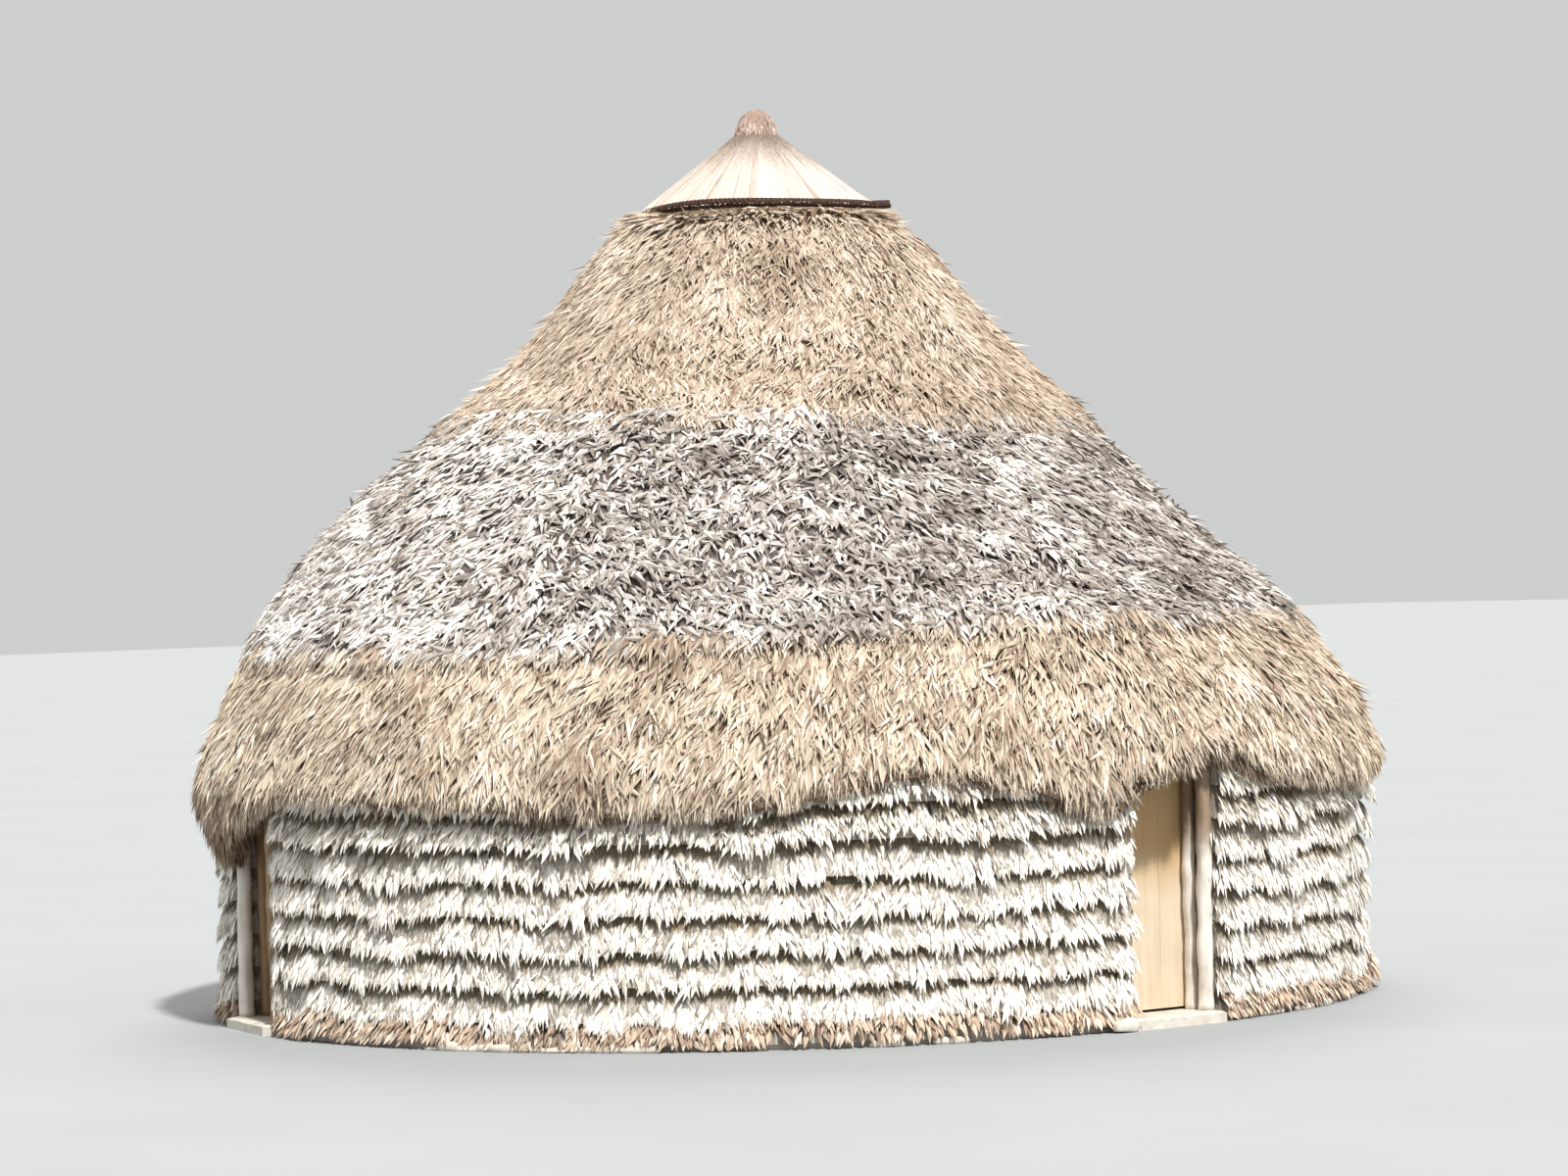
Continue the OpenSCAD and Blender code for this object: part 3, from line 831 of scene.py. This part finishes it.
def comb_cap(name, count, seed):
    chance = np.random.default_rng(seed)
    azimuth = chance.uniform(0, 360, count)
    out, side = outward(azimuth), sideways(azimuth)
    slope = unit(out * (CAP_R - NECK_R) + np.array([0, 0, CAP_RIM - CAP_TOP]))
    normal = np.cross(side, -slope)
    full = math.hypot(CAP_R - NECK_R, CAP_TOP - CAP_RIM)
    length = full * np.clip(chance.uniform(0.35, 1.25, count), 0, 1.04)
    start = full + chance.uniform(-0.012, 0.016, count)
    start -= (chance.uniform(0, 1, count) < UPPER_SHARE) * (full - length) * 0.8
    root = CAP_MIDDLE + out * NECK_R + np.array([0, 0, CAP_TOP]) + slope * start[:, None]
    root += normal * chance.uniform(0.000, 0.007, count)[:, None]
    way = unit(-slope + side * chance.normal(0, 0.018, count)[:, None] + normal * 0.006)
    across = rolled(way, unit(np.cross(normal, way)), chance.normal(0, 0.4, count))
    streak = drift(out, 0.05, seed + 3) + 0.9 * np.maximum(drift(out, 0.5, seed + 4), 0)
    tone = chance.normal(0.68, 0.14, count) + 0.1 * drift(out, 0.35, seed) - 0.35 * (streak > 1.5)
    tone = np.clip(tone, 0, 1)
    # Painted shade: tips that reach in under the knot are darkened.
    top_shade = np.where(start - length < 0.08, 0.75, 0.2)
    lay_blades(name, root, way, across, length, pick(chance, count, 0.007, 0.013), tone,
               np.full(count, -0.5), top_shade, combed_straw, "cream_straw")


comb_cap("cap_straws", 9000, 61)

# %% [markdown]
# ## Timber, lime and iron
# The poles are peeled branches, the doors plain boards, the floor rough lime. Each could have a tree of
# its own, but one covers them all with different numbers. It has a grain, which is stretched upwards in
# wood, a slow stain over it, and the grain again as relief. On the door posts and the main door's leaf,
# above a given height the colour is darkened, a painted shade for the shadow that the eave casts.

# %% Timber, lime and iron
def grain_finish(name, stops, scale=40, stretch=(1, 1, 0.06), roughness=0.75, rough=0.4, stain_size=3.0,
                 painted_shade_above=None):
    finish, tree, shader = start_finish(name, roughness)
    grain = mottle(tree, scale, stretch, detail=6.0, roughness=0.65)
    stain = mottle(tree, stain_size)
    colour = mix(tree, 0.4, ramp(tree, grain, stops), ramp(tree, stain, stops))
    # Painted shade: above the given height the colour is multiplied darker, for the eave's shadow.
    if painted_shade_above:
        hexa, from_z, to_z = painted_shade_above
        height = add_node(tree, "ShaderNodeMath", operation="MULTIPLY_ADD", i0=stain, i1=0.4,
                          i2=height_of(tree)).outputs[0]
        depth = add_node(tree, "ShaderNodeMapRange", i0=height, i1=from_z + 0.2, i2=to_z + 0.2).outputs[0]
        colour = mix(tree, depth, colour, mix(tree, 1.0, colour, linear(hexa), "MULTIPLY"))
    tree.links.new(colour, shader.inputs["Base Color"])
    relief(tree, shader, grain, strength=rough, distance=0.004)
    return finish


pole_wood = grain_finish("peeled_pole", [(0.3, "6a5440"), (0.5, "94795c"), (0.7, "b59a78")])
# The door posts are darkened at the top: painted shade of the eave.
grey_post = grain_finish("weathered_post", [(0.32, "a59a8d"), (0.48, "dad2c7"), (0.62, "f0ebe2")], scale=26,
                         stain_size=5, painted_shade_above=("a08d7c", 0.85, 1.08))
# The main door's leaf is darkened at the top: painted shade of the eave.
tan_board = grain_finish("tan_board", [(0.25, "c1ab8c"), (0.5, "d1c0a6"), (0.75, "ddd0bb")], scale=22,
                         rough=0.15, painted_shade_above=("efd9b8", 0.7, 0.95))
brown_board = grain_finish("brown_board", [(0.25, "5f452f"), (0.5, "866446"), (0.75, "a58460")], scale=26)
lime = grain_finish("rough_lime", [(0.3, "aea698"), (0.5, "cbc5b9"), (0.7, "dedacf")], scale=14,
                    stretch=(1, 1, 1), roughness=0.9, rough=0.6, stain_size=4.0)
iron = grain_finish("dark_iron", [(0.3, "1d1a18"), (0.55, "2f2a27"), (0.75, "4a3a2e")], scale=30,
                    stretch=(1, 1, 1), roughness=0.6)

dress(pole_wood, "wall_posts", "wall_laths", "wall_plate", "centre_post", "post_collar", "rafters",
      "roof_hoops", "main_door_head", "side_door_head")
dress(grey_post, "main_door_posts", "side_door_posts")
dress(tan_board, "main_door_leaf", "main_door_ledges")
dress(brown_board, "side_door_leaf", "side_door_ledges")
dress(lime, "floor_slab", "main_threshold", "side_threshold", "foot_stone")
dress(iron, "main_door_straps", "side_door_straps", "main_door_pins", "side_door_pins")
print("timber, lime and iron dressed")

# %% [markdown]
# ## Tubes
# Poles, cords and wraps are all tubes along a line. One helper makes them as arrays: a ring of points
# about each step of the line, joined by triangles and closed at the ends. Lumps are added along the
# ring's own direction, so a pole gets the swellings of a real branch. The other helper joins several
# tubes, or other closed shapes, into one piece.

# %% Tubes
def tube(path, radius, sides, reference, closed=False, lumps=0.0, lump_size=0.2, seed=1):
    path = np.asarray(path, dtype=float)
    n = len(path)
    ahead = unit(np.roll(path, -1, 0) - np.roll(path, 1, 0) if closed else np.gradient(path, axis=0))
    u = unit(np.cross(ahead, reference))
    v = np.cross(ahead, u)
    turn = np.linspace(0, 2 * math.pi, sides, endpoint=False)[None, :, None]
    ring = np.cos(turn) * u[:, None, :] + np.sin(turn) * v[:, None, :]
    points = path[:, None, :] + ring * np.broadcast_to(radius, (n,))[:, None, None]
    if lumps:
        points += ring * (lumps * drift(points.reshape(-1, 3), lump_size, seed)).reshape(n, sides, 1)
    i, j = np.meshgrid(np.arange(n if closed else n - 1), np.arange(sides), indexing="ij")
    a, b = i * sides + j, i * sides + (j + 1) % sides
    c, d = (i + 1) % n * sides + (j + 1) % sides, (i + 1) % n * sides + j
    triangles = [np.stack([a, b, c], -1).reshape(-1, 3), np.stack([a, c, d], -1).reshape(-1, 3)]
    points = points.reshape(-1, 3)
    if not closed:
        k = np.arange(sides)
        last = (n - 1) * sides
        triangles.append(np.stack([np.full(sides, n * sides), (k + 1) % sides, k], -1))
        triangles.append(np.stack([np.full(sides, n * sides + 1), last + k, last + (k + 1) % sides], -1))
        points = np.concatenate([points, path[:1], path[-1:]])
    return points, np.concatenate(triangles)


def join_tubes(name, tubes, finish, body="house", smooth=True):
    points, triangles, first = [], [], 0
    for some_points, some_triangles in tubes:
        points.append(some_points)
        triangles.append(some_triangles + first)
        first += len(some_points)
    piece = flat_mesh(name, np.concatenate(points), np.concatenate(triangles), finish, body)
    if smooth:
        piece.data.shade_smooth()
    print(name, len(piece.data.polygons), "faces")
    return piece


print("tube helpers ready")

# %% [markdown]
# ## The binding
# The binding round the rim is a twisted cord of three strands, and its loose end stands out on one
# side. A plain ring with a bumpy finish would be quicker, but the twist shows against the pale cap. So
# each strand is a tube that winds round the cord's own line.

# %% Bind the cap
NEAR_UPRIGHT = (0.02, 0.01, 1)


def twisted(path, radius, pitch, closed=False, sides=6):
    path = np.asarray(path, dtype=float)
    steps = np.linalg.norm(np.diff(path, axis=0), axis=1)
    along = np.concatenate([[0], np.cumsum(steps)])
    ahead = unit(np.roll(path, -1, 0) - np.roll(path, 1, 0) if closed else np.gradient(path, axis=0))
    u = unit(np.cross(ahead, NEAR_UPRIGHT))
    v = np.cross(ahead, u)
    whole = along[-1] + (steps[-1] if closed else 0)
    turns = round(whole / pitch) if closed else whole / pitch
    strands = []
    for k in range(3):
        angle = along / whole * turns * 2 * math.pi + k * 2 * math.pi / 3
        line = path + (np.cos(angle)[:, None] * u + np.sin(angle)[:, None] * v) * radius * 0.5
        strands.append(tube(line, radius * 0.56, sides, NEAR_UPRIGHT, closed))
    return strands


rope, tree, shader = start_finish("dark_rope", 0.9)
fibre = mottle(tree, 90, detail=3.0)
fibre_tones = ramp(tree, fibre, [(0.3, "2b1e19"), (0.55, "4a352c"), (0.8, "6b5347")])
tree.links.new(fibre_tones, shader.inputs["Base Color"])
relief(tree, shader, fibre, strength=0.5, distance=0.002)

PITCH, END_FROM, END_TO = 0.08, 36, 49
round_cap = np.linspace(0, 360, 560, endpoint=False)
ring_line = CAP_MIDDLE + outward(round_cap) * (CAP_R + 0.008)
ring_line[:, 2] = CAP_RIM - 0.018 + 0.006 * drift(ring_line, 0.5, 71)
end_turn = np.linspace(END_FROM, END_TO, 22)
along_end = (end_turn - END_FROM) / (END_TO - END_FROM)
end_line = CAP_MIDDLE + outward(end_turn) * (CAP_R + 0.03 + 0.06 * along_end ** 2)[:, None]
end_line[:, 2] = CAP_RIM - 0.012 + 0.012 * along_end
ropes = twisted(ring_line, 0.024, PITCH, closed=True) + twisted(end_line, 0.026, PITCH)
binding = join_tubes("cap_rope", ropes, rope)
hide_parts("cap_binding")
dress(rope, "cap_binding")

# %% [markdown]
# ## The knot
# The knot at the tip is the straw itself, folded over into a blunt head. It is laid like the roof:
# short straws run from its top down over the shoulder. Two turns of a thin cord pull them in at the
# neck.

# %% Tie the knot
KNOT_H = knot_high.z - knot_low.z
KNOT_LEVELS = (0, 0.19, 0.53, 0.81, 1, 1.07)
KNOT_RADII = (0.122, 0.117, 0.101, 0.076, 0.040, 0.006)
STRAW_DROP, WRAP_TURNS = 0.25, 2.0


def fold_knot(name, count, seed):
    chance = np.random.default_rng(seed)
    out = outward(chance.uniform(0, 360, count))
    height = chance.uniform(0.12, 1.07, count)
    radius, lower = [np.interp(height - step, KNOT_LEVELS, KNOT_RADII) for step in (0, STRAW_DROP)]
    root = CAP_MIDDLE + out * (radius * chance.uniform(0.99, 1.06, count))[:, None]
    root[:, 2] = knot_low.z + KNOT_H * height
    way = unit(out * (lower - radius)[:, None] + np.array([0, 0, -STRAW_DROP * KNOT_H]))
    across = rolled(way, unit(np.cross(way, out + 0.01)), chance.normal(0, 0.5, count))
    lay_blades(name, root, way, across, pick(chance, count, 0.035, 0.075), pick(chance, count, 0.009, 0.016),
               pick(chance, count, 0.0, 0.95), pick(chance, count, 0.0, 0.6), np.full(count, 0.1),
               knot_straw, "cream_straw")


dress(knot_straw, "cap_knot")
fold_knot("knot_straws", 1100, 81)
wraps = np.linspace(0, WRAP_TURNS, 180)
wrap_line = CAP_MIDDLE + outward(wraps * 360) * (0.119 - 0.002 * wraps)[:, None]
wrap_line[:, 2] = knot_low.z + 0.006 + wraps * 0.013
wraps_of_cord = twisted(wrap_line, radius=0.0055, pitch=0.03, sides=5)
join_tubes("knot_wraps", wraps_of_cord, pole_wood)

# %% [markdown]
# ## Door posts
# Each doorway has two peeled posts a side, set one behind the other. A turned cylinder would look too
# true, so each is a tube along a line that wanders a few millimetres, with swellings and a wider foot.
# At the side doorway only the first post is weathered grey. The other three are given the brown of
# the peeled poles, a painted shade.

# %% Door posts
POST_X, POST_FOOT, POST_HEAD = 0.286, 0.06, 1.357
POST_ROWS = ((3.225, 0.0425), (3.11, 0.0375))
SWAY, LUMPS = 0.005, 0.0022


def at_door(points, azimuth):
    a = math.radians(azimuth)
    points = np.asarray(points, dtype=float)
    turned_points = points.copy()
    turned_points[:, 0] = points[:, 0] * math.cos(a) - points[:, 1] * math.sin(a)
    turned_points[:, 1] = points[:, 0] * math.sin(a) + points[:, 1] * math.cos(a)
    return turned_points


def door_posts(name, azimuth, seed, painted_shade_wood=None):
    chance = np.random.default_rng(seed)
    tubes = []
    z = np.linspace(POST_FOOT, POST_HEAD, 40)
    for side in (-1, 1):
        for out, radius in POST_ROWS:
            sway = chance.uniform(-1, 1, 4)
            x = side * POST_X + SWAY * sway[0] * np.sin(z * 2.3 + sway[1] * 3)
            y = -out + SWAY * sway[2] * np.sin(z * 2.9 + sway[3] * 3)
            girth = radius * (0.97 + 0.05 * np.exp(-(z - POST_FOOT) / 0.12) - 0.02 * (z - POST_FOOT))
            line = at_door(np.stack([x, y, z], -1), azimuth)
            lump_seed = seed + int(side * out * 100) % 97
            tubes.append(tube(line, girth, 20, reference=(1, 0, 0), lumps=LUMPS, lump_size=0.09,
                              seed=lump_seed))
    posts = join_tubes(name, tubes, grey_post)
    # Painted shade: the three posts after the first take this darker wood.
    if painted_shade_wood:
        posts.data.materials.append(painted_shade_wood)
        each = len(posts.data.polygons) // 4
        posts.data.polygons.foreach_set("material_index", np.repeat([0, 1, 1, 1], each).astype(np.int32))
    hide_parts(name.replace("_poles", "_posts"))


door_posts("main_door_poles", MAIN_DOOR, 101)
door_posts("side_door_poles", SIDE_DOOR, 102, painted_shade_wood=pole_wood)

# %% [markdown]
# ## Door leaves
# A leaf is a few planed boards set edge to edge, with a hair of shadow between them and their edges
# worn round. Each board is a box whose edges are bevelled, stood in the frame's own leaf and kept as
# thick as that.

# %% Door leaves
LEAF_HALF, LEAF_OUT, LEAF_T, LEAF_FOOT, LEAF_H = 0.3, 3.03, 0.03, 0.075, 1.31
BEVEL = 0.0025


def bevelled_box(low, high, width):
    shape = bmesh.new()
    bmesh.ops.create_cube(shape, size=1)
    middle, size = (np.array(low) + high) / 2, np.array(high) - low
    for corner in shape.verts:
        corner.co = Vector(middle + np.array(corner.co) * size)
    bmesh.ops.bevel(shape, geom=shape.edges[:], offset=width, segments=2, profile=0.7, affect="EDGES")
    bmesh.ops.triangulate(shape, faces=shape.faces[:])
    shape.verts.ensure_lookup_table()
    points = np.array([corner.co[:] for corner in shape.verts])
    triangles = np.array([[corner.index for corner in face.verts] for face in shape.faces])
    shape.free()
    return points, triangles


def door_boards(name, azimuth, edges, finish, body, node, gap):
    boards = []
    for left, right in zip(edges[:-1], edges[1:]):
        points, triangles = bevelled_box((left + gap / 2, -LEAF_OUT - LEAF_T, LEAF_FOOT),
                                         (right - gap / 2, -LEAF_OUT, LEAF_FOOT + LEAF_H), BEVEL)
        boards.append((at_door(points, azimuth), triangles))
    leaf = join_tubes(name, boards, finish, body, smooth=False)
    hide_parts(node)


door_boards("main_door_boards", MAIN_DOOR, [-LEAF_HALF, -0.09, 0.11, LEAF_HALF], tan_board,
            "main_door", "main_door_leaf", gap=0.0012)
door_boards("side_door_boards", SIDE_DOOR, [-LEAF_HALF, -0.17, -0.05, 0.07, 0.18, LEAF_HALF], brown_board,
            "side_door", "side_door_leaf", gap=0.004)

# %% [markdown]
# ## The white stone
# A small white stone lies at the foot of the main door. It starts as a ball, which is squared off and then
# pushed about by the same slow drift as the thatch. A box with bevelled edges would be too true for a
# stone that was picked up somewhere.

# %% Stone
def rough_lump(seed, middle, size, push, detail=3):
    shape = bmesh.new()
    bmesh.ops.create_icosphere(shape, subdivisions=detail, radius=1)
    shape.verts.ensure_lookup_table()
    ball = np.array([corner.co[:] for corner in shape.verts])
    triangles = np.array([[corner.index for corner in face.verts] for face in shape.faces])
    shape.free()
    square = np.sign(ball) * np.abs(ball) ** 0.55
    square = square / np.abs(square).max(axis=0)
    points = np.array(middle) + square * np.array(size) / 2
    points += ball * (push * drift(points, 0.07, seed))[:, None]
    points[:, 2] = np.maximum(points[:, 2], 0.0)
    return points, triangles


stone_low, stone_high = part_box("foot_stone")
stone_middle, stone_size = (stone_low + stone_high) / 2, stone_high - stone_low
stone = join_tubes("door_foot_stone", [rough_lump(111, stone_middle, stone_size * 0.97, push=0.004)], lime)
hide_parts("foot_stone")

# %% [markdown]
# ## Sills
# A sill is a slab of lime. It starts as a fine grid that is worn down at its ends and along the outer
# edge and made uneven by the drift. Then it is closed at the sides and below. A box would show a sharp
# edge where feet have worn one away.

# %% Sills
SILL_W, SILL_D, SILL_OUT, SILL_EDGE, SILL_RISE = 0.66, 0.088, 3.286, 0.05, 0.0105


def sill(name, azimuth, seed, node):
    shape = bmesh.new()
    bmesh.ops.create_grid(shape, x_segments=44, y_segments=8, size=0.5)
    shape.verts.ensure_lookup_table()
    flat = np.array([corner.co[:] for corner in shape.verts])
    triangles = []
    for face in shape.faces:
        a, b, c, d = [corner.index for corner in face.verts]
        triangles += [(a, b, c), (a, c, d)]
    shape.free()
    n = len(flat)
    triangles = np.array(triangles)
    x, y = flat[:, 0] * SILL_W, -SILL_OUT + flat[:, 1] * SILL_D
    worn = np.clip((0.5 - np.abs(flat[:, 0])) / 0.03, 0, 1) * np.clip((flat[:, 1] + 0.5) / 0.2, 0, 1)
    top = np.stack([x, y, SILL_EDGE + SILL_RISE * np.sqrt(worn)], -1)
    top[:, 2] += 0.0025 * drift(top, 0.08, seed) * worn
    top[:, 1] += 0.004 * drift(top, 0.15, seed + 1) * (flat[:, 1] < 0)
    bottom = top.copy()
    bottom[:, 2] = 0.0
    edges = dict.fromkeys(edge for a, b, c in triangles for edge in ((a, b), (b, c), (c, a)))
    rim = [(a, b) for (a, b) in edges if (b, a) not in edges]
    sides = [t for a, b in rim for t in ((b, a, a + n), (b, a + n, b + n))]
    points = at_door(np.concatenate([top, bottom]), azimuth)
    faces = np.concatenate([triangles, triangles[:, ::-1] + n, np.array(sides)])
    piece = join_tubes(name, [(points, faces)], lime, smooth=False)
    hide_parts(node)


sill("main_door_sill", MAIN_DOOR, 121, "main_threshold")
sill("side_door_sill", SIDE_DOOR, 122, "side_threshold")

# %% [markdown]
# ## Crumbs of the kerb
# The floor's kerb is hidden under the brown foot row, but crumbs of its lime have broken off and show in
# front of it. They are flat lumps made as the stone is. Most lie in one stretch on the side that the
# picture shows, and a few are strewn along the rest.

# %% Crumbs
CRUMB_PLACES = list(np.linspace(-73, -51, 15)) + [-30, -24, 13, 19, 24, 60, 95, 140, 185, 230]
chance = np.random.default_rng(131)
crumbs = []
for azimuth in CRUMB_PLACES:
    azimuth += chance.uniform(-0.8, 0.8)
    radius = chance.uniform(3.29, 3.315)
    size = (chance.uniform(0.08, 0.22), chance.uniform(0.05, 0.09), chance.uniform(0.02, 0.055))
    points, triangles = rough_lump(140 + len(crumbs), (0, -radius, size[2] * 0.3), size, push=0.006, detail=2)
    crumbs.append((at_door(points, azimuth), triangles))
join_tubes("kerb_crumbs", crumbs, lime)
